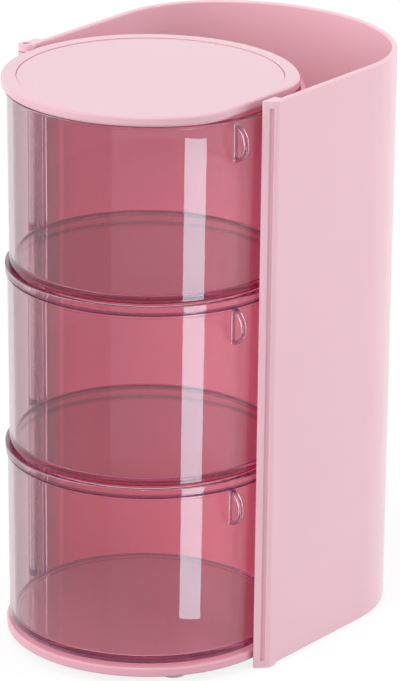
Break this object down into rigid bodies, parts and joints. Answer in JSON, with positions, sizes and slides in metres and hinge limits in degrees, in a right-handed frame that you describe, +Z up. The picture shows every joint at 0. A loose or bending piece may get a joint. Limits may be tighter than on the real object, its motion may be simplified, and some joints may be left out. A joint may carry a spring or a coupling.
{
  "type": "swivel tray organiser",
  "caption": "Table organiser with round clear trays and a lid that swing out about one side pin, in front of a tall open rear compartment.",
  "frame": {"origin": "bottom centre of the whole object's box, on the surface that it stands on", "axes": "+Z up, front of the trays towards -Y, hinge pin on the -X side"},
  "size_m": [0.1308, 0.1786, 0.24],
  "materials": {
    "pink_plastic": "satin moulded",
    "clear_plastic": "clear polished",
    "steel": "ground rod",
    "nylon": "natural",
    "rubber": "soft matte"
  },
  "bodies": {
    "case": {"shell": "pink_plastic", "stop_post": "pink_plastic", "hinge_post": "pink_plastic", "hinge_cap": "pink_plastic", "hinge_pin": "steel", "hinge_washers": "nylon", "base_plate": "pink_plastic", "divider": "pink_plastic", "foot_front_left": "rubber", "foot_front_right": "rubber", "foot_back_left": "rubber", "foot_back_right": "rubber"},
    "lid": {"lid_frame": "pink_plastic", "lid_panel": "pink_plastic"},
    "upper_tray": {"tray_upper_wall": "clear_plastic", "tray_upper_floor": "clear_plastic", "tray_upper_barrel": "clear_plastic", "tray_upper_loop": "clear_plastic"},
    "middle_tray": {"tray_middle_wall": "clear_plastic", "tray_middle_floor": "clear_plastic", "tray_middle_barrel": "clear_plastic", "tray_middle_loop": "clear_plastic"},
    "lower_tray": {"tray_lower_wall": "clear_plastic", "tray_lower_floor": "clear_plastic", "tray_lower_barrel": "clear_plastic", "tray_lower_loop": "clear_plastic"}
  },
  "joints": [
    {"name": "lid_swing", "type": "hinge", "parent": "case", "child": "lid", "pos_m": [-0.0618, -0.02995, 0.12], "axis": [0, 0, -1], "range_deg": [0, 165]},
    {"name": "upper_tray_swing", "type": "hinge", "parent": "case", "child": "upper_tray", "pos_m": [-0.0618, -0.02995, 0.12], "axis": [0, 0, -1], "range_deg": [0, 165]},
    {"name": "middle_tray_swing", "type": "hinge", "parent": "case", "child": "middle_tray", "pos_m": [-0.0618, -0.02995, 0.12], "axis": [0, 0, -1], "range_deg": [0, 165]},
    {"name": "lower_tray_swing", "type": "hinge", "parent": "case", "child": "lower_tray", "pos_m": [-0.0618, -0.02995, 0.12], "axis": [0, 0, -1], "range_deg": [0, 165]}
  ]
}
